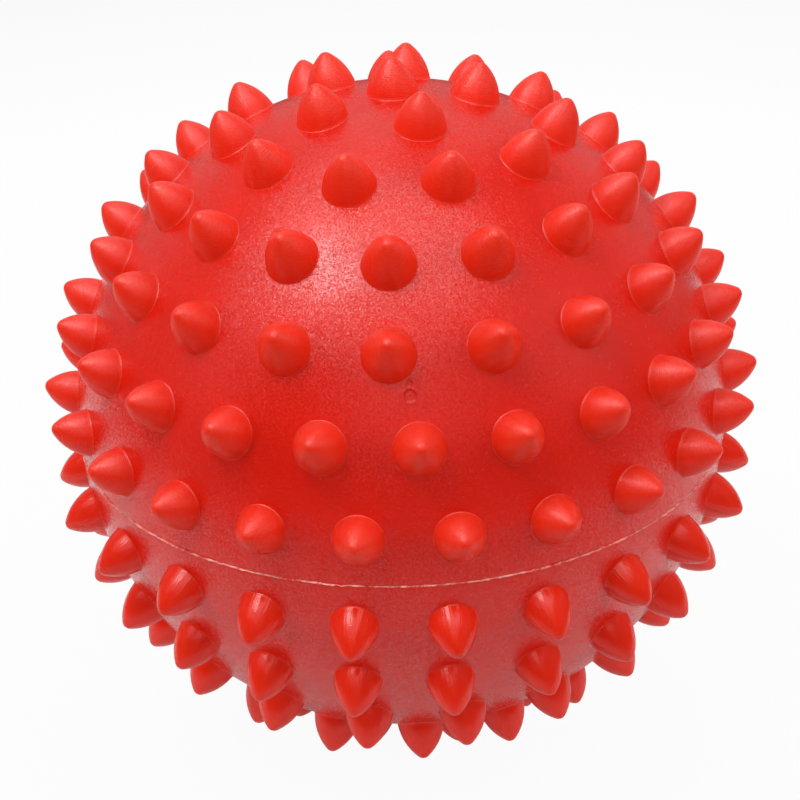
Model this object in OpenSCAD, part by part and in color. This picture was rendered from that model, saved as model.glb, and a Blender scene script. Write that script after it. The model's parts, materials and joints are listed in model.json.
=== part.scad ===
// Soft spiked sensory ball: two moulded half skins welded round the middle, rows of
// blunt spikes on both halves, and a needle valve behind a small port at the front.
// Millimetres. The origin is the ball's centre, +Z runs up through the upper pole,
// the seam lies in the XY plane and the front faces -Y.

/* [Skin] */
// Diameter of the round skin, without the spikes
ball_d = 81.6; // [74:0.1:95]
// Thickness of the moulded skin
wall = 2.5; // [1.5:0.1:4]
// Radius of the weld bead along the seam, which is how far it stands proud
bead_r = 0.25; // [0.1:0.05:0.6]

/* [Spikes] */
// Height of a spike above the skin, along its own axis
spike_h = 4.2; // [3:0.1:6]
// Diameter at its foot of a spike beside the seam
spike_d = 5.4; // [4:0.1:6.4]
// Diameter at its foot of the crown spike, which the rows grow towards evenly
crown_d = 6; // [4:0.1:6.8]
// Radius of a spike's rounded tip
tip_r = 0.95; // [0.5:0.05:1.3]
// Radius of the bulging flank between a spike's foot and its tip
flank_r = 6.3; // [5:0.1:14]
// Lean towards the pole of a spike beside the seam, which fades to none at the pole
seam_lean = 14; // [0:0.5:20]

/* [Rows] */
// Angle between the seam and the first row of spikes on each half
first_row = 7.9; // [6.6:0.1:10]
// Spikes in each even row of a half, from the seam towards the pole
row_counts = [24, 23, 19, 16, 11]; // [3:1:30]
// Turn of each upper row: the angle of its front spike, positive towards +X
upper_turns = [-7, 2.6, -2, -1.9, -15.2]; // [-40:0.1:40]
// Turn of each lower row
lower_turns = [-8.2, -8.8, -8.4, 2.6, -15.2]; // [-40:0.1:40]
// Turns of the spikes in the last row, the uneven ring round each crown
ring_turns = [18, 96, 170, 229, 304]; // [0:1:360]

/* [Needle valve] */
// Diameter of the port that a pump needle is pushed into
port_d = 1.4; // [1:0.1:2.4]
// Angle of the port round the ball from the front, positive towards +X
port_turn = 1.4; // [-10:0.1:10]
// How far the port lies above the middle line between the second and third rows
port_rise = 0.6; // [-1:0.1:1]
// Diameter of the rubber valve core
core_d = 6.4; // [5:0.1:9]
// Length of the valve core below the inside of the skin
core_l = 6; // [4:0.1:9]
// Depth of the needle's guide hole in the valve core, which ends at a closed slit
guide_l = 2.5; // [1:0.1:3.5]
// Wall of the socket that is moulded round the valve core
socket_wall = 1.2; // [0.8:0.1:2]
// Gap left round the valve core for the glue
glue_gap = 0.05; // [0.02:0.01:0.2]

/* [Hidden] */

upper = 1;
lower = -1;
pole = 90;
skin_red = [0.80, 0.11, 0.08];
spike_red = [0.86, 0.12, 0.07];
bead_red = [0.88, 0.30, 0.26];
core_grey = [0.20, 0.20, 0.21];

ball_r = ball_d / 2;
inner_r = ball_r - wall;
port_r = port_d / 2;
core_r = core_d / 2;
seat_r = core_r + glue_gap;
socket_r = seat_r + socket_wall;

// The ball and its skin take fine facets, the small round forms coarser ones.
skin_fn = 180;
small_fn = 48;
// How far a cutting solid runs past the face that it cuts.
past = 1;
// A spike's tip stands this hair proud of its flank, so that their faces cross cleanly.
tip_proud = 0.005;

last_row = len(row_counts);
function row_angle(row) = first_row + row * (pole - first_row) / (last_row + 1);
function lean_at(angle) = seam_lean * (1 - angle / pole);
function foot_at(angle) = (spike_d + (crown_d - spike_d) * angle / pole) / 2;
port_angle = (row_angle(1) + row_angle(2)) / 2 + asin(port_rise / ball_r);

// Turns +Z to point out of the ball, at an angle above the seam and a turn from the front.
module aim(angle, turn) {
  rotate([0, 0, turn])
    rotate([pole - angle, 0, 0])
      children();
}

// A spike's flank is an arc through its foot that runs smoothly into the round tip.
// The arc's centre lies flank_r from the foot and flank_r - touch_r from the tip's centre.
module spike_profile(foot_r) {
  tip_z = spike_h - tip_r;
  touch_r = tip_r - tip_proud;
  foot_to_tip = norm([foot_r, tip_z]);
  along = (foot_to_tip^2 + flank_r^2 - (flank_r - touch_r)^2) / (2 * foot_to_tip);
  aside = sqrt(flank_r^2 - along^2);
  flank_x = foot_r - (along * foot_r + aside * tip_z) / foot_to_tip;
  flank_z = (along * tip_z - aside * foot_r) / foot_to_tip;
  // Height at which the flank passes into the tip, on the line through both centres.
  join_z = tip_z + touch_r * (tip_z - flank_z) / (flank_r - touch_r);
  // A leaning spike is carried on below its foot, so that it meets the skin all round.
  root_l = foot_r * tan(seam_lean) + foot_r^2 / ball_r + 0.3;
  intersection() {
    translate([flank_x, flank_z])
      circle(r = flank_r, $fn = skin_fn);
    translate([0, -root_l])
      square([2 * foot_r, root_l + join_z]);
  }
  intersection() {
    translate([0, tip_z])
      circle(r = tip_r, $fn = small_fn);
    translate([0, tip_z])
      square(2 * tip_r);
  }
}

// One spike on the upper or lower half, cut off by the skin that it stands on.
module spike(side, angle, turn) {
  difference() {
    aim(side * angle, turn)
      translate([0, 0, ball_r])
        rotate([-side * lean_at(angle), 0, 0])
          rotate_extrude($fn = small_fn)
            spike_profile(foot_at(angle));
    sphere(r = ball_r, $fn = skin_fn);
  }
}

module spike_row(side, row) {
  count = row_counts[row];
  turns = side == upper ? upper_turns : lower_turns;
  color(spike_red)
    for (i = [0 : count - 1])
      spike(side, row_angle(row), turns[row] + i * 360 / count);
}

module crown_ring(side) {
  color(spike_red)
    for (turn = ring_turns)
      spike(side, row_angle(last_row), turn);
}

module crown_spike(side) {
  color(spike_red)
    spike(side, pole, 0);
}

// Half of the hollow skin, from the seam to one pole.
module half_skin(side) {
  rotate_extrude($fn = skin_fn)
    intersection() {
      difference() {
        circle(r = ball_r, $fn = skin_fn);
        circle(r = inner_r, $fn = skin_fn);
      }
      translate([0, side == upper ? 0 : -ball_r])
        square(ball_r);
    }
}

module upper_half_shell() {
  color(skin_red)
    difference() {
      union() {
        half_skin(upper);
        aim(port_angle, port_turn)
          translate([0, 0, inner_r - core_l])
            cylinder(r = socket_r, h = core_l + wall / 2, $fn = small_fn);
      }
      intersection() {
        aim(port_angle, port_turn)
          translate([0, 0, inner_r - core_l - past])
            cylinder(r = seat_r, h = core_l + past + wall / 2, $fn = small_fn);
        sphere(r = inner_r, $fn = skin_fn);
      }
      aim(port_angle, port_turn)
        translate([0, 0, inner_r - past])
          cylinder(r = port_r, h = wall + 2 * past, $fn = small_fn);
    }
}

module lower_half_shell() {
  color(skin_red)
    half_skin(lower);
}

module seam_bead() {
  color(bead_red)
    rotate_extrude($fn = skin_fn)
      difference() {
        translate([ball_r, 0])
          circle(r = bead_r, $fn = small_fn);
        circle(r = ball_r, $fn = skin_fn);
      }
}

module valve_core() {
  color(core_grey)
    difference() {
      intersection() {
        aim(port_angle, port_turn)
          translate([0, 0, inner_r - core_l])
            cylinder(r = core_r, h = core_l + wall / 2, $fn = small_fn);
        sphere(r = inner_r, $fn = skin_fn);
      }
      aim(port_angle, port_turn)
        translate([0, 0, inner_r - guide_l])
          cylinder(r = port_r, h = guide_l + past, $fn = small_fn);
    }
}

module upper_spike_row_1() { spike_row(upper, 0); }
module upper_spike_row_2() { spike_row(upper, 1); }
module upper_spike_row_3() { spike_row(upper, 2); }
module upper_spike_row_4() { spike_row(upper, 3); }
module upper_spike_row_5() { spike_row(upper, 4); }
module upper_spike_row_6() { crown_ring(upper); }
module upper_crown_spike() { crown_spike(upper); }
module lower_spike_row_1() { spike_row(lower, 0); }
module lower_spike_row_2() { spike_row(lower, 1); }
module lower_spike_row_3() { spike_row(lower, 2); }
module lower_spike_row_4() { spike_row(lower, 3); }
module lower_spike_row_5() { spike_row(lower, 4); }
module lower_spike_row_6() { crown_ring(lower); }
module lower_crown_spike() { crown_spike(lower); }

upper_half_shell();
lower_half_shell();
seam_bead();
valve_core();
upper_spike_row_1();
upper_spike_row_2();
upper_spike_row_3();
upper_spike_row_4();
upper_spike_row_5();
upper_spike_row_6();
upper_crown_spike();
lower_spike_row_1();
lower_spike_row_2();
lower_spike_row_3();
lower_spike_row_4();
lower_spike_row_5();
lower_spike_row_6();
lower_crown_spike();
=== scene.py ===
import json
import math
import random

import bmesh
import bpy
from mathutils import Matrix, Vector, noise


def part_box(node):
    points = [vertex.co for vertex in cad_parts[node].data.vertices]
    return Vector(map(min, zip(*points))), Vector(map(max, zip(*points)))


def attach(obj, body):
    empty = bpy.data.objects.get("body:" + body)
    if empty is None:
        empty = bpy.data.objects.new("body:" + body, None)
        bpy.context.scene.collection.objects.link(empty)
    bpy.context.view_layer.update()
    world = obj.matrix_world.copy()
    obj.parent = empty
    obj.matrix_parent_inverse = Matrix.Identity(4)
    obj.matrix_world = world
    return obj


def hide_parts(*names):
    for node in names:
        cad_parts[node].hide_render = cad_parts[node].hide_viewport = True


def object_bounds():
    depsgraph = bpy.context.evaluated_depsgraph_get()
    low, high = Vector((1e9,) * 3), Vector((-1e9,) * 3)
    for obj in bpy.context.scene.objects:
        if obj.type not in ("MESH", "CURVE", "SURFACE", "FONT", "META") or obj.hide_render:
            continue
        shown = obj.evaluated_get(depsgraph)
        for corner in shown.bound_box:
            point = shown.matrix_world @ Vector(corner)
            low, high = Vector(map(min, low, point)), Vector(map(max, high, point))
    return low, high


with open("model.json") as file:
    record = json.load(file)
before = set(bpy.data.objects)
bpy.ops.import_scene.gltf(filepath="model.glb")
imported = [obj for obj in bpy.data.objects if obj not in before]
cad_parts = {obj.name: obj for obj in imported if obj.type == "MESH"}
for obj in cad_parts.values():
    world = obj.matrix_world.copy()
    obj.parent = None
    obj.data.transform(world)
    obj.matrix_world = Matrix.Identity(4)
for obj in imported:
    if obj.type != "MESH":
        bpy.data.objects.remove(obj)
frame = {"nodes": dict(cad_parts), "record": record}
cad_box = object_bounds()

# Half skins: two cups of soft red vinyl, cast in sand-blasted moulds that leave a fine grain.
# They are welded rim to rim round the middle, and the upper one carries the needle port,
# a dimple that the soft vinyl has closed to a pinhole, with a small gate mark above it.
mm = 0.001
ball_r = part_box("lower_half_shell")[1].x
wall = 2.5 * mm
rim_round = 0.12 * mm
skin_columns = 360
outer_rows = 90
inner_rows = 18
rim_steps = 4
skin_deep_red = (0.69, 0.0088, 0.0011, 1)
skin_bright_red = (0.75, 0.0112, 0.0015, 1)
skin_mottle = 9 * mm
skin_roughness = 0.22
skin_roughness_spread = 0.08
skin_rub = 0.8 * mm
skin_gloss = 0.33
grain_size = 0.13 * mm
grain_tilt = 0.30
dull_facet = 0.30
bright_facet = 0.92
facet_roughness = 0.20

port = next(m for m in frame["record"]["mounts"] if m["name"] == "needle_port")
port_axis = Vector(port["axis"]).normalized()
port_r = port["dims"]["r_mm"] * mm
port_patch = 2.6 * mm
port_reach = 1.5 * port_patch
port_cuts = 9
dimple_floor_r = 0.75 * port_r
dimple_rim_r = 1.02 * port_r
dimple_depth = 0.11 * mm
pinhole_r = 0.07 * mm
pinhole_depth = 0.12 * mm
lip_height = 0.015 * mm
lip_width = 0.10 * mm
gate_rise = math.radians(1.75)
gate_r = 0.40 * mm
gate_depth = 0.11 * mm


def ease(value, low, high):
    """Goes smoothly from 0 at low to 1 at high."""
    share = min(max((value - low) / (high - low), 0), 1)
    return share * share * (3 - 2 * share)


def off_axis(point, axis):
    """How far a point lies from an axis through the ball's centre."""
    return (point - axis * point.dot(axis)).length


gate_axis = Matrix.Rotation(-gate_rise, 3, "X") @ port_axis


def port_relief(point):
    """Height of the skin round the needle port above the plain ball."""
    across = off_axis(point, port_axis)
    lip = lip_height * math.exp(-((across - port_r - lip_width) / lip_width) ** 2)
    dimple = dimple_depth * (1 - ease(across, dimple_floor_r, dimple_rim_r))
    pinhole = pinhole_depth * (1 - ease(across, 0.4 * pinhole_r, pinhole_r))
    gate = gate_depth * (1 - ease(off_axis(point, gate_axis), 0.5 * gate_r, gate_r))
    return lip - dimple - pinhole - gate


def circle(radius, height, count):
    """A level ring of points round the Z axis."""
    turns = [2 * math.pi * i / count for i in range(count)]
    return [Vector((radius * math.cos(t), radius * math.sin(t), height)) for t in turns]


def loft(rings, closed=False):
    """Joins rings of points with quads. A ring of one point closes to a tip."""
    starts = [sum(len(r) for r in rings[:k]) for k in range(len(rings))]
    pairs = list(zip(range(len(rings) - 1), range(1, len(rings))))
    if closed:
        pairs.append((len(rings) - 1, 0))
    faces = []
    for a, b in pairs:
        count = max(len(rings[a]), len(rings[b]))
        for i in range(count):
            corners = [(a, i), (a, i + 1), (b, i + 1), (b, i)]
            face = [starts[ring] + k % len(rings[ring]) for ring, k in corners]
            faces.append(list(dict.fromkeys(face)))
    return [p for ring in rings for p in ring], faces


def make_piece(name, points, faces, finish, sharp_angle=50):
    """A smooth mesh object with its faces turned outwards."""
    mesh = bpy.data.meshes.new(name)
    mesh.from_pydata(points, [], faces)
    tidy = bmesh.new()
    tidy.from_mesh(mesh)
    bmesh.ops.recalc_face_normals(tidy, faces=tidy.faces)
    tidy.to_mesh(mesh)
    tidy.free()
    mesh.shade_smooth()
    mesh.set_sharp_from_angle(angle=math.radians(sharp_angle))
    mesh.materials.append(finish)
    piece = bpy.data.objects.new(name, mesh)
    bpy.context.scene.collection.objects.link(piece)
    return piece


def half_skin(side):
    """Points and faces of one cup: its outside, its inside and the weld face between them."""
    inner_r = ball_r - wall
    rim_angle = math.asin(rim_round / ball_r)
    rings = [[Vector((0, 0, side * inner_r))]]
    for k in range(inner_rows - 1, -1, -1):
        angle = math.pi / 2 * k / inner_rows
        height = side * inner_r * math.sin(angle)
        rings.append(circle(inner_r * math.cos(angle), height, skin_columns))
    for k in range(rim_steps):
        angle = math.pi / 2 * k / rim_steps
        radius = ball_r - rim_round * (1 - math.sin(angle))
        rings.append(circle(radius, side * rim_round * (1 - math.cos(angle)), skin_columns))
    for k in range(outer_rows):
        angle = rim_angle + (math.pi / 2 - rim_angle) * k / outer_rows
        height = side * ball_r * math.sin(angle)
        rings.append(circle(ball_r * math.cos(angle), height, skin_columns))
    rings.append([Vector((0, 0, side * ball_r))])
    return loft(rings)


def sink_port(piece):
    """Refines the outside of the skin round the needle port and presses the dimple into it."""
    middle = port_axis * ball_r
    fine = bmesh.new()
    fine.from_mesh(piece.data)
    near = [f for f in fine.faces if (f.calc_center_median() - middle).length < port_patch]
    edges = list({e for f in near for e in f.edges})
    bmesh.ops.subdivide_edges(fine, edges=edges, cuts=port_cuts, use_grid_fill=True)
    for v in fine.verts:
        if (v.co - middle).length < port_reach and v.co.length > ball_r - wall / 2:
            v.co = v.co.normalized() * (ball_r + port_relief(v.co))
    fine.to_mesh(piece.data)
    fine.free()


class Tone:
    """A shader socket. Arithmetic on it adds Math nodes, and make() adds any other node."""

    def __init__(self, tree, socket=None):
        self.tree = tree
        self.socket = socket

    def make(self, kind, settings=None, inputs=None, output=0):
        made = self.tree.nodes.new(kind)
        for name, value in (settings or {}).items():
            setattr(made, name, value)
        for name, value in (inputs or {}).items():
            if isinstance(value, Tone):
                self.tree.links.new(value.socket, made.inputs[name])
            else:
                made.inputs[name].default_value = value
        return Tone(self.tree, made.outputs[output] if made.outputs else None)

    def math(self, operation, first, second=0.0):
        return self.make("ShaderNodeMath", {"operation": operation}, {0: first, 1: second})

    def vector(self, operation, first, second=(0, 0, 0), output=0):
        settings = {"operation": operation}
        return self.make("ShaderNodeVectorMath", settings, {0: first, 1: second}, output)

    def __add__(self, other):
        return self.math("ADD", self, other)

    def __mul__(self, other):
        return self.math("MULTIPLY", self, other)

    __radd__ = __add__
    __rmul__ = __mul__

    def blend(self, none, full):
        """The colour none where this value is 0, and full where it is 1."""
        settings = {"data_type": "RGBA"}
        return self.make("ShaderNodeMix", settings, {0: self, 6: none, 7: full}, 2)

    def ramp(self, low, high):
        """Goes smoothly from 0 where this value is low to 1 where it is high."""
        settings = {"interpolation_type": "SMOOTHSTEP"}
        return self.make("ShaderNodeMapRange", settings, {0: self, 1: low, 2: high})

    def noise(self, size, detail=2.0, roughness=0.5):
        """Soft noise with features of about that size in metres, from 0 to 1."""
        place = self.make("ShaderNodeTexCoord", output="Object")
        inputs = {"Vector": place, "Scale": 1 / size, "Detail": detail, "Roughness": roughness}
        return self.make("ShaderNodeTexNoise", None, inputs)


def new_finish(name):
    """An empty node material and a bare Tone on its nodes."""
    finish = bpy.data.materials.new(name)
    finish.use_nodes = True
    finish.node_tree.nodes.clear()
    return finish, Tone(finish.node_tree)


def set_surface(tone, inputs):
    """Gives a material one plain surface with those inputs."""
    surface = tone.make("ShaderNodeBsdfPrincipled", None, inputs)
    tone.make("ShaderNodeOutputMaterial", None, {"Surface": surface})


def grain_facets(tone):
    """The blasted grain: a colour that differs by facet, and how much each facet shines."""
    place = tone.make("ShaderNodeTexCoord", output="Object")
    cells = {"Vector": place, "Scale": 1 / grain_size}
    facet = tone.make("ShaderNodeTexVoronoi", None, cells, "Color")
    shine = tone.make("ShaderNodeTexWhiteNoise", None, {"Vector": facet})
    return facet, shine.ramp(dull_facet, bright_facet)


def skin_vinyl():
    finish, tone = new_finish("skin_vinyl")
    facet, shine = grain_facets(tone)
    even = tone.vector("SUBTRACT", facet, (0.5, 0.5, 0.5))
    tilt = tone.vector("MULTIPLY", even, (grain_tilt, grain_tilt, grain_tilt))
    plain = tone.make("ShaderNodeNewGeometry", output="Normal")
    set_surface(tone, {
        "Base Color": tone.noise(skin_mottle).blend(skin_deep_red, skin_bright_red),
        "Roughness": skin_roughness + skin_roughness_spread * tone.noise(skin_rub),
        "Normal": tone.vector("NORMALIZE", tone.vector("ADD", plain, tilt)),
        "Specular IOR Level": skin_gloss,
        "Coat Weight": shine,
        "Coat Roughness": facet_roughness,
    })
    return finish


skin_finish = skin_vinyl()
for side, half in ((1, "upper"), (-1, "lower")):
    skin = make_piece(f"{half}_skin", *half_skin(side), skin_finish)
    if half == "upper":
        sink_port(skin)
    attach(skin, "root")
    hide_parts(f"{half}_half_shell")

# Weld bead: the thread of vinyl that the heated rims squeezed out along the seam. It is thin,
# glossy and ragged, stands proud in most stretches and sinks into the seam in others.
# Pale pink flecks in the bead's colour are painted glints, on top of the bead's real gloss.
bead_steps = 2400
bead_rise = 0.20 * mm
bead_half_width = 0.12 * mm
bead_root = 0.25 * mm
bead_mean = 0.70
bead_limit = 1.15
bead_sunk = 0.20
bead_swell = 1.0
swell_pitch = 5 * mm
bead_fray = 0.9
fray_pitch = 0.6 * mm
bead_wander = 0.05 * mm
wander_pitch = 3 * mm
bead_jitter = 0.6
jitter_pitch = 0.7 * mm
width_pitch = 0.8 * mm
bead_roughness = 0.08
bead_roughness_spread = 0.3
painted_glint_size = 1.6 * mm
bead_rub = 0.4 * mm
# The pale pink of the painted glints along the bead, and the size of their flecks above.
painted_glint_pink = (0.94, 0.46, 0.39, 1)


def ragged(turn, pitch, layer):
    """Noise from -1 to 1 along the seam, with features of about that pitch."""
    reach = ball_r / pitch
    return noise.noise(Vector((reach * math.cos(turn), reach * math.sin(turn), 10.0 * layer)))


def bead_rings():
    """The bead's section at each step, which swells, wanders and widens along the seam."""
    rings = []
    for i in range(bead_steps):
        turn = 2 * math.pi * i / bead_steps
        swell = bead_mean + bead_swell * ragged(turn, swell_pitch, 1)
        swell += bead_fray * ragged(turn, fray_pitch, 2)
        crest = bead_rise * (min(max(swell, 0), bead_limit) - bead_sunk)
        drift = ragged(turn, wander_pitch, 3) + bead_jitter * ragged(turn, jitter_pitch, 4)
        middle = bead_wander * drift
        half = bead_half_width * (0.9 + 0.7 * ragged(turn, width_pitch, 5))
        shoulder = 0.72 * crest
        foot = -0.1 * bead_rise
        section = [(-bead_root, -half), (foot, -half), (shoulder, -0.6 * half), (crest, 0.0),
                   (shoulder, 0.6 * half), (foot, half), (-bead_root, half)]
        across = Vector((math.cos(turn), math.sin(turn), 0))
        rings.append([across * (ball_r + out) + Vector((0, 0, middle + up)) for out, up in section])
    return rings


def bead_vinyl():
    finish, tone = new_finish("bead_vinyl")
    # Painted glints: pale pink flecks mixed into the bead's red, on top of its real gloss.
    painted_glints = tone.noise(painted_glint_size, detail=4.0, roughness=0.8).ramp(low=0.34, high=0.66)
    set_surface(tone, {
        "Base Color": painted_glints.blend(skin_deep_red, painted_glint_pink),
        "Roughness": bead_roughness + bead_roughness_spread * tone.noise(bead_rub),
        "Specular IOR Level": 0.8,
    })
    return finish


bead = make_piece("weld_bead", *loft(bead_rings(), closed=True), bead_vinyl())
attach(bead, "root")
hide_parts("seam_bead")

# Valve core: a plug of dark soft rubber glued into its socket behind the port, with a guide
# hole for the pump needle. The skin hides it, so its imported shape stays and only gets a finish.
core_dark = (0.022, 0.022, 0.024, 1)
core_grey = (0.045, 0.045, 0.048, 1)
core_roughness = 0.55
core_roughness_spread = 0.2
core_grain = 0.3 * mm
core_grain_depth = 0.02 * mm


def core_rubber():
    finish, tone = new_finish("core_rubber")
    grain = {"Distance": core_grain_depth, "Height": tone.noise(core_grain)}
    set_surface(tone, {
        "Base Color": tone.noise(5 * core_grain).blend(core_dark, core_grey),
        "Roughness": core_roughness + core_roughness_spread * tone.noise(2 * core_grain),
        "Normal": tone.make("ShaderNodeBump", None, grain),
    })
    return finish


core = frame["nodes"]["valve_core"]
core.data.materials.clear()
core.data.materials.append(core_rubber())

# Spikes: blunt domes of vinyl cast in one with the skin, in rows from the seam to a crown at each
# pole, with a small fillet at the foot. Their moulds were turned, which left fine rings. The side
# towards the pole keeps a satin grain, and the side that slid out of the mould is streaked.
spike_h = 4.2 * mm
seam_foot_r = 2.7 * mm
crown_foot_r = 3.0 * mm
tip_r = 0.95 * mm
flank_r = 6.3 * mm
seam_lean = math.radians(14)
first_row = math.radians(7.9)
row_counts = [24, 23, 19, 16, 11]
upper_turns = [-7, 2.6, -2, -1.9, -15.2]
lower_turns = [-8.2, -8.8, -8.4, 2.6, -15.2]
ring_turns = [18, 96, 170, 229, 304]
spike_columns = 48
flank_rows = 18
tip_rows = 8
fillet = 0.12 * mm
root_depth = 0.5 * mm
lean_spread = math.radians(0.8)
height_spread = 0.010
upper_reds = (0.83, 0.0250, 0.0064, 1), (0.88, 0.0280, 0.0074, 1)
# The lower rows' reds are darker than the upper rows': painted shade for the underside of the ball.
lower_shaded_reds = (0.76, 0.0205, 0.0050, 1), (0.82, 0.0235, 0.0060, 1)
red_mottle = 5 * mm
spike_rub = 0.7 * mm
spike_roughness_spread = 0.10
ring_pitch = 0.21 * mm
ring_weight = 0.9
ring_waver = 5
waver_pitch = 1.1 * mm
fade_pitch = 0.9 * mm
dent_pitch = 0.20 * mm
dent_weight = 1.2
streak_pitch = 0.28 * mm
streak_draw = 0.06
mark_depth = 0.008 * mm
grain_starts = 0.15
grain_full = 0.60
grain_least = 0.45
buried_root = 1.4 * mm
# How far out from the foot and up from the skin the fillet's rings lie, in fillets.
fillet_rings = ((1.6, -2.0), (1.0, -0.02), (0.50, 0.12), (0.15, 0.50))


class SpikeForm:
    """A spike's profile: an arc up from its foot that runs smoothly into a round tip."""

    def __init__(self, foot_r):
        self.foot_r = foot_r
        self.tip_z = spike_h - tip_r
        reach = math.hypot(foot_r, self.tip_z)
        along = (reach**2 + flank_r**2 - (flank_r - tip_r) ** 2) / (2 * reach)
        aside = math.sqrt(flank_r**2 - along**2)
        self.flank_x = foot_r - (along * foot_r + aside * self.tip_z) / reach
        self.flank_z = (along * self.tip_z - aside * foot_r) / reach
        self.join = math.atan2(self.tip_z - self.flank_z, -self.flank_x)
        self.root = math.asin((-buried_root - self.flank_z) / flank_r)

    def point(self, place, slope, turn, stretch):
        """The point of the surface where the profile has that slope, on one side of the axis."""
        if slope <= self.join:
            radius = self.flank_x + flank_r * math.cos(slope)
            height = self.flank_z + flank_r * math.sin(slope)
        else:
            radius = tip_r * math.cos(slope)
            height = self.tip_z + tip_r * math.sin(slope)
        return place @ Vector((radius * math.cos(turn), radius * math.sin(turn), height * stretch))

    def foot(self, place, turn, stretch):
        """The slope at which the surface comes out of the skin."""
        low, high = self.root, self.join
        for _ in range(24):
            middle = (low + high) / 2
            if self.point(place, middle, turn, stretch).length < ball_r:
                low = middle
            else:
                high = middle
        return high

    def rings(self, place, stretch):
        """Rings of one spike from below the skin, over the fillet and the flank, to the tip."""
        turns = [2 * math.pi * i / spike_columns for i in range(spike_columns)]
        feet = [self.foot(place, t, stretch) for t in turns]
        marks = [self.point(place, a, t, stretch) for a, t in zip(feet, turns)]
        root = place.to_translation().normalized() * (ball_r - root_depth)
        spread = [m - root for m in marks]
        level = [d - m * d.dot(m) / m.length_squared for d, m in zip(spread, marks)]
        outward = [d.normalized() for d in level]
        rings = [[root]]
        for out, up in fillet_rings:
            lifted = [m * (1 + up * fillet / ball_r) for m in marks]
            rings.append([p + o * out * fillet for p, o in zip(lifted, outward)])
        for k in range(1, flank_rows + 1):
            slopes = [a + (self.join - a) * k / flank_rows for a in feet]
            rings.append([self.point(place, a, t, stretch) for a, t in zip(slopes, turns)])
        for k in range(1, tip_rows):
            slope = self.join + (math.pi / 2 - self.join) * k / tip_rows
            rings.append([self.point(place, slope, t, stretch) for t in turns])
        rings.append([self.point(place, math.pi / 2, 0, stretch)])
        return rings


def spike_row(name, side, angle, turns, seed, finish):
    """One row of spikes, each a little unlike the next, with places on them for the finish."""
    draw = random.Random(seed)
    points, faces, places = [], [], []
    share = angle / (math.pi / 2)
    lean = seam_lean * (1 - share)
    form = SpikeForm(seam_foot_r + (crown_foot_r - seam_foot_r) * share)
    for turn in turns:
        stretch = 1 + draw.gauss(0, height_spread)
        sway = Matrix.Rotation(draw.gauss(0, lean_spread), 4, "Y")
        nod = Matrix.Rotation(-side * lean + draw.gauss(0, lean_spread), 4, "X")
        out = Matrix.Rotation(turn, 4, "Z") @ Matrix.Rotation(math.pi / 2 - side * angle, 4, "X")
        place = out @ Matrix.Translation((0, 0, ball_r)) @ nod @ sway
        spike_points, spike_faces = loft(form.rings(place, stretch))
        back = place.inverted()
        faces += [[len(points) + i for i in f] for f in spike_faces]
        points += spike_points
        places += [back @ p for p in spike_points]
    row = make_piece(name, points, faces, finish, sharp_angle=75)
    along = [value for p in places for value in (math.atan2(p.y, p.x) * form.foot_r, p.z, 0)]
    row.data.attributes.new("along", "FLOAT_VECTOR", "POINT").data.foreach_set("vector", along)
    return row


def spike_vinyl(name, side, reds, base_roughness, gloss, marking, streaking):
    finish, tone = new_finish(name)
    facing = tone.make("ShaderNodeTexCoord", output="Normal")
    pole_side = side * tone.make("ShaderNodeSeparateXYZ", None, {0: facing}, "Z")
    shine = grain_facets(tone)[1]
    along = tone.make("ShaderNodeAttribute", {"attribute_name": "along"}, None, "Vector")
    rise = tone.make("ShaderNodeSeparateXYZ", None, {0: along}, "Y")
    wavy_rise = rise * (2 * math.pi / ring_pitch) + ring_waver * tone.noise(waver_pitch)
    rings = tone.math("SINE", wavy_rise) * tone.noise(fade_pitch)
    drawn = tone.vector("MULTIPLY", along, (1, streak_draw, 1))
    lines = {"Vector": drawn, "Scale": 1 / streak_pitch, "Detail": 1.0}
    streaks = tone.make("ShaderNodeTexNoise", None, lines)
    dents = tone.noise(dent_pitch, detail=1.0)
    turned = marking * (ring_weight * rings + dent_weight * dents)
    height = turned + streaking * streaks
    marks = {"Strength": 1.0, "Distance": mark_depth, "Height": height}
    grain = pole_side.ramp(grain_starts, grain_full)
    set_surface(tone, {
        "Base Color": tone.noise(red_mottle).blend(*reds),
        "Roughness": base_roughness + spike_roughness_spread * tone.noise(spike_rub),
        "Normal": tone.make("ShaderNodeBump", None, marks),
        "Specular IOR Level": gloss,
        "Coat Weight": grain * (grain_least + (1 - grain_least) * shine),
        "Coat Roughness": 0.45,
        "Subsurface Weight": 0.25,
        "Subsurface Radius": (1.0, 0.12, 0.06),
        "Subsurface Scale": 1.0 * mm,
    })
    return finish


satin = spike_vinyl("satin_spike_vinyl", 1, upper_reds, base_roughness=0.27, gloss=0.30,
                    marking=2.0, streaking=0.9)
# The lower spikes' finish carries the darker reds, which are painted shade under the ball.
bright = spike_vinyl("streaked_spike_vinyl_painted_shade", -1, lower_shaded_reds, base_roughness=0.08, gloss=0.42,
                     marking=0.8, streaking=6.0)
halves = ((1, "upper", upper_turns, satin), (-1, "lower", lower_turns, bright))
for side, half, first_turns, spike_finish in halves:
    half_seed = 100 * side
    rows = []
    for first, count in zip(first_turns, row_counts):
        rows.append([first + 360 * i / count for i in range(count)])
    rows.append(ring_turns)
    for row, degrees in enumerate(rows):
        name = f"{half}_spikes_{row + 1}"
        angle = first_row + row * (math.pi / 2 - first_row) / len(rows)
        turns = [math.radians(d) for d in degrees]
        spikes = spike_row(name, side, angle, turns, half_seed + row, spike_finish)
        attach(spikes, "root")
        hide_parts(f"{half}_spike_row_{row + 1}")
    seed = half_seed + len(rows)
    crown = spike_row(f"{half}_crown", side, math.pi / 2, [0.0], seed, spike_finish)
    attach(crown, "root")
    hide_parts(f"{half}_crown_spike")

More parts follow.
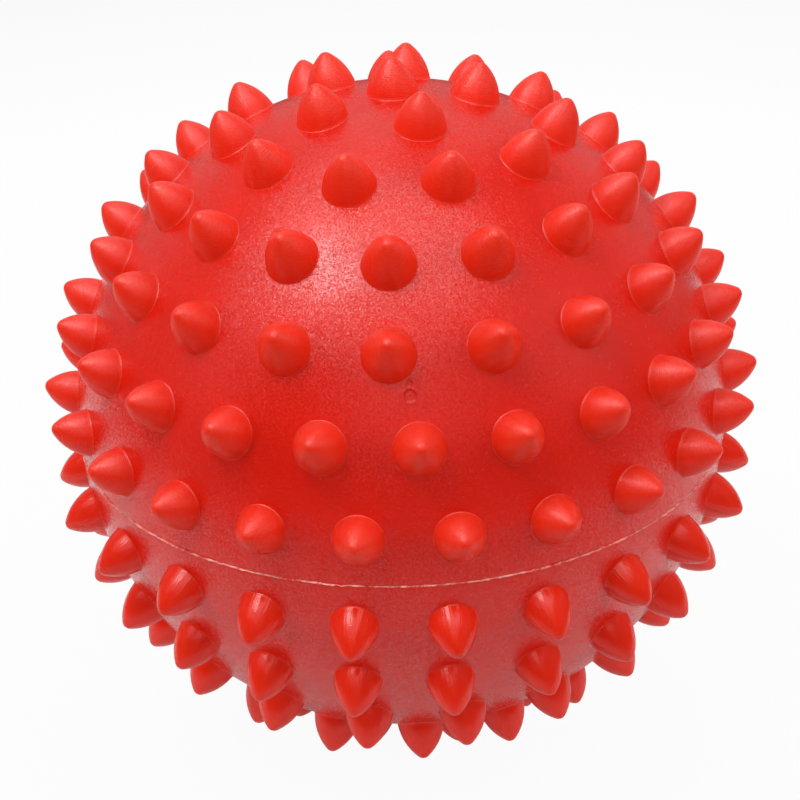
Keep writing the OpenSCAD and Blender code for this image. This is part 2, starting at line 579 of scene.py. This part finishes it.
# Floor: a matt white card under the ball, which fades into a grey studio floor. It shows white to
# the camera, with a little of its own lit face in it, which keeps the ball's shadow.
floor_half = 12.0
floor_z = cad_box[0].z
card_white = (0.66, 0.66, 0.66, 1)
studio_grey = (0.10, 0.10, 0.10, 1)
card_middle = (0, 0.10, floor_z)
card_near = 0.14
card_far = 0.36
camera_white = 0.94
mirror_white = 0.02


def white_share(tone):
    """How much of a ray sees plain white in place of the lit floor or room."""
    camera_ray = tone.make("ShaderNodeLightPath", output="Is Camera Ray")
    glossy_ray = tone.make("ShaderNodeLightPath", output="Is Glossy Ray")
    clear_ray = tone.make("ShaderNodeLightPath", output="Is Transmission Ray")
    mirrored = tone.math("MINIMUM", glossy_ray + clear_ray, 1.0)
    return camera_ray * camera_white + mirrored * mirror_white


def floor_card():
    finish, tone = new_finish("floor_card")
    place = tone.make("ShaderNodeTexCoord", output="Object")
    away = tone.vector("DISTANCE", place, card_middle, "Value")
    card = tone.make("ShaderNodeBsdfDiffuse", None, {"Color": card_white})
    studio = tone.make("ShaderNodeBsdfDiffuse", None, {"Color": studio_grey})
    fade = away.ramp(card_near, card_far)
    ground = tone.make("ShaderNodeMixShader", None, {0: fade, 1: card, 2: studio})
    white = tone.make("ShaderNodeEmission", None, {"Color": (1, 1, 1, 1), "Strength": 1.0})
    surface = tone.make("ShaderNodeMixShader", None, {0: white_share(tone), 1: ground, 2: white})
    tone.make("ShaderNodeOutputMaterial", None, {"Surface": surface})
    return finish


signs = ((-1, -1), (1, -1), (1, 1), (-1, 1))
corners = [Vector((x * floor_half, y * floor_half, floor_z)) for x, y in signs]
floor = make_piece("floor", corners, [[0, 1, 2, 3]], floor_card())

# Light: a small bright softbox at the front left, a soft one above and a weak one behind the ball,
# in a dim room with a paler back wall. A broad panel above the front only adds to the sheen, and
# the fills on both sides, in front and behind only light the colour.
softboxes = [
    # Name, direction from the ball, distance, width, length, watts, and what it lights.
    ("key", (-0.38, -0.23, 0.90), 0.60, 0.25, 0.17, 0.9, "both"),
    ("overhead", (-0.04, -0.12, 0.99), 0.60, 0.60, 0.46, 0.9, "both"),
    ("sheen", (-0.18, -0.24, 0.95), 0.60, 0.94, 0.80, 2.8, "gloss"),
    ("back", (0.0, 0.65, 0.76), 0.70, 0.50, 0.35, 0.22, "both"),
    ("right_fill", (0.85, -0.25, 0.46), 0.80, 0.60, 0.60, 2.75, "colour"),
    ("left_fill", (-0.90, -0.25, 0.36), 0.80, 0.50, 0.50, 2.2, "colour"),
    ("front_fill", (0.05, -0.92, 0.40), 0.80, 0.70, 0.40, 1.75, "colour"),
    ("right_rim", (0.70, 0.62, 0.35), 0.80, 0.50, 0.50, 1.5, "colour"),
    ("left_rim", (-0.70, 0.62, 0.35), 0.80, 0.50, 0.50, 1.2, "colour"),
    ("top_rim", (0.0, 0.80, 0.60), 0.80, 0.50, 0.50, 2.1, "colour"),
]
wall_grey = (0.035, 0.035, 0.035, 1)
backdrop_grey = (0.30, 0.30, 0.30, 1)
ceiling_white = (0.16, 0.16, 0.16, 1)
wall_top = 0.25
ceiling_edge = 0.75
backdrop_near = -0.1
backdrop_full = 0.7
for name, direction, distance, width, length, power, lit in softboxes:
    lamp = bpy.data.lights.new(name, "AREA")
    lamp.shape = "RECTANGLE"
    lamp.size = width
    lamp.size_y = length
    lamp.energy = power
    box = bpy.data.objects.new(name, lamp)
    box.visible_glossy = lit != "colour"
    box.visible_diffuse = lit != "gloss"
    box.location = Vector(direction).normalized() * distance
    box.rotation_mode = "QUATERNION"
    box.rotation_quaternion = (-box.location).to_track_quat("-Z", "Y")
    bpy.context.scene.collection.objects.link(box)

room = bpy.data.worlds.new("room")
room.use_nodes = True
room.node_tree.nodes.clear()
tone = Tone(room.node_tree)
aim = tone.make("ShaderNodeTexCoord", output="Generated")
height = tone.make("ShaderNodeSeparateXYZ", None, {0: aim}, "Z")
depth = tone.make("ShaderNodeSeparateXYZ", None, {0: aim}, "Y")
wall_colour = depth.ramp(backdrop_near, backdrop_full).blend(wall_grey, backdrop_grey)
walls = tone.make("ShaderNodeBackground", None, {"Color": wall_colour})
ceiling = tone.make("ShaderNodeBackground", None, {"Color": ceiling_white})
above = height.ramp(wall_top, ceiling_edge)
inside = tone.make("ShaderNodeMixShader", None, {0: above, 1: walls, 2: ceiling})
white = tone.make("ShaderNodeBackground", None, {"Color": (1, 1, 1, 1)})
surface = tone.make("ShaderNodeMixShader", None, {0: white_share(tone), 1: inside, 2: white})
tone.make("ShaderNodeOutputWorld", None, {"Surface": surface})
bpy.context.scene.world = room

# Camera: at the photograph's angle, looking down on the front of the ball. Its lens, height and
# roll were fitted to the seam, the outline and the spikes in the photograph.
image_px = 800
focal_px = 1489.5
centre_px = (401.6, 400.5)
camera_elevation = math.radians(28.68)
camera_roll = math.radians(-1.7)
camera_distance = 4.715 * ball_r
lens = bpy.data.cameras.new("camera")
lens.sensor_width = 36
lens.lens = lens.sensor_width * focal_px / image_px
lens.shift_x = (image_px / 2 - centre_px[0]) / image_px
lens.shift_y = (centre_px[1] - image_px / 2) / image_px
lens.clip_start = 0.01
camera = bpy.data.objects.new("camera", lens)
towards = Vector((0, -math.cos(camera_elevation), math.sin(camera_elevation)))
camera.location = towards * camera_distance
camera.rotation_mode = "QUATERNION"
upright = (-towards).to_track_quat("-Z", "Y")
camera.rotation_quaternion = upright @ Matrix.Rotation(camera_roll, 3, "Z").to_quaternion()
bpy.context.scene.collection.objects.link(camera)
bpy.context.scene.camera = camera
bpy.context.scene.view_settings.view_transform = "Standard"
